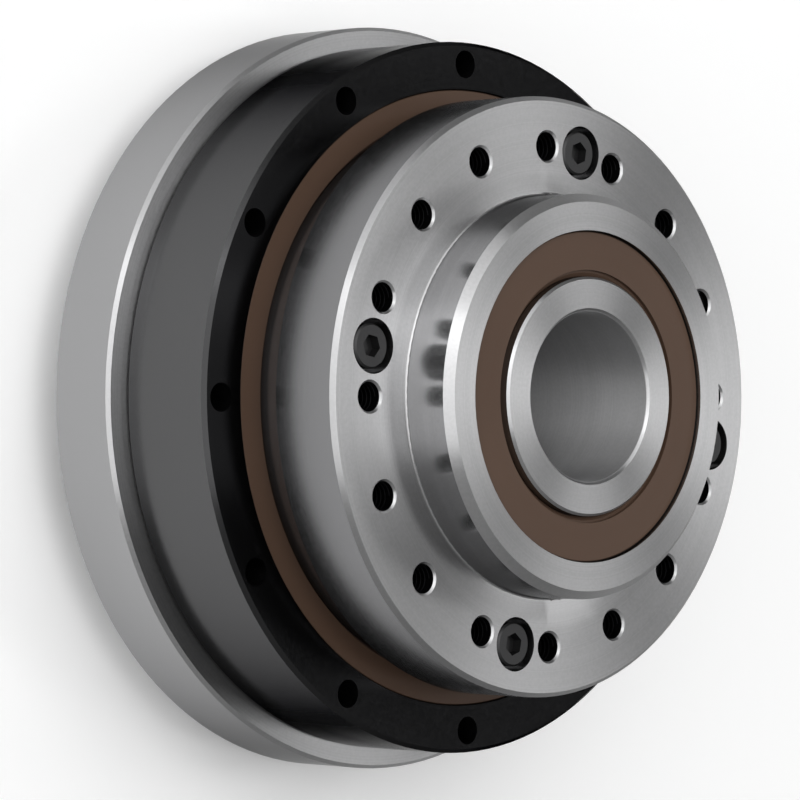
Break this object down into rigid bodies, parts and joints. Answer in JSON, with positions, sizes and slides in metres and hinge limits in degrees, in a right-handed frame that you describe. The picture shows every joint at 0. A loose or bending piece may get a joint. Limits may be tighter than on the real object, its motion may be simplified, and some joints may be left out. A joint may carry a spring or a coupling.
{
  "type": "strain wave gear unit",
  "caption": "Hollow-shaft strain wave gear unit with a black bearing ring, a wide rear mounting ring and a drilled output flange with a pilot boss.",
  "frame": {"origin": "middle of the rear boss's face, which is the bottom of the unit as it stands", "axes": "+Z along the gear axis towards the output flange; +X through one mounting hole and one output hole"},
  "size_m": [0.095, 0.095, 0.0515],
  "materials": {
    "turned_steel": "satin, with fine turning marks",
    "black_steel": "black oxide, satin",
    "bearing_steel": "ground and polished",
    "flex_steel": "satin, ground",
    "dark_screw_steel": "black oxide, satin",
    "brown_rubber": "matte",
    "black_rubber": "matte",
    "cage_plastic": "moulded polyamide"
  },
  "bodies": {
    "housing": {"rear_housing": "turned_steel", "rear_oil_seal": "brown_rubber", "rear_seal_spring": "bearing_steel", "rear_bearing_outer_ring": "bearing_steel", "bearing_outer_ring": "black_steel", "loading_plug": "black_steel", "loading_plug_pin": "bearing_steel", "main_seal": "brown_rubber", "rear_housing_o_ring": "black_rubber", "outer_ring_o_ring": "black_rubber", "housing_screws": "dark_screw_steel", "flexspline": "flex_steel"},
    "output": {"output_flange": "turned_steel", "circular_spline": "flex_steel", "bearing_inner_ring": "bearing_steel", "flange_o_ring": "black_rubber", "flange_screws": "dark_screw_steel", "front_oil_seal": "brown_rubber", "front_seal_spring": "bearing_steel", "front_bearing_outer_ring": "bearing_steel"},
    "input_shaft": {"hollow_shaft": "turned_steel", "rear_bearing_inner_ring": "bearing_steel", "front_bearing_inner_ring": "bearing_steel", "flex_bearing_inner_race": "bearing_steel", "flex_bearing_outer_race": "bearing_steel", "flex_bearing_balls": "bearing_steel", "flex_bearing_cage": "cage_plastic"},
    "roller_train": {"cross_rollers": "bearing_steel", "roller_spacers": "cage_plastic"},
    "rear_ball_set": {"rear_bearing_balls": "bearing_steel", "rear_bearing_cage": "cage_plastic"},
    "front_ball_set": {"front_bearing_balls": "bearing_steel", "front_bearing_cage": "cage_plastic"}
  },
  "joints": [
    {"name": "output_spin", "type": "hinge", "parent": "housing", "child": "output", "pos_m": [0, 0, 0.02575], "axis": [0, 0, 1], "continuous": true},
    {"name": "input_spin", "type": "hinge", "parent": "housing", "child": "input_shaft", "pos_m": [0, 0, 0.02575], "axis": [0, 0, 1], "continuous": true, "deforming": ["flexspline"]},
    {"name": "roller_spin", "type": "hinge", "parent": "housing", "child": "roller_train", "pos_m": [0, 0, 0.02575], "axis": [0, 0, 1], "continuous": true},
    {"name": "rear_ball_spin", "type": "hinge", "parent": "housing", "child": "rear_ball_set", "pos_m": [0, 0, 0.02575], "axis": [0, 0, 1], "continuous": true},
    {"name": "front_ball_spin", "type": "hinge", "parent": "housing", "child": "front_ball_set", "pos_m": [0, 0, 0.02575], "axis": [0, 0, 1], "continuous": true}
  ],
  "couplings": [
    {"joint": "input_spin", "follows": "output_spin", "ratio": 51},
    {"joint": "roller_spin", "follows": "output_spin", "ratio": 0.48281},
    {"joint": "rear_ball_spin", "follows": "output_spin", "ratio": 23.035},
    {"joint": "front_ball_spin", "follows": "output_spin", "ratio": 23.583}
  ]
}
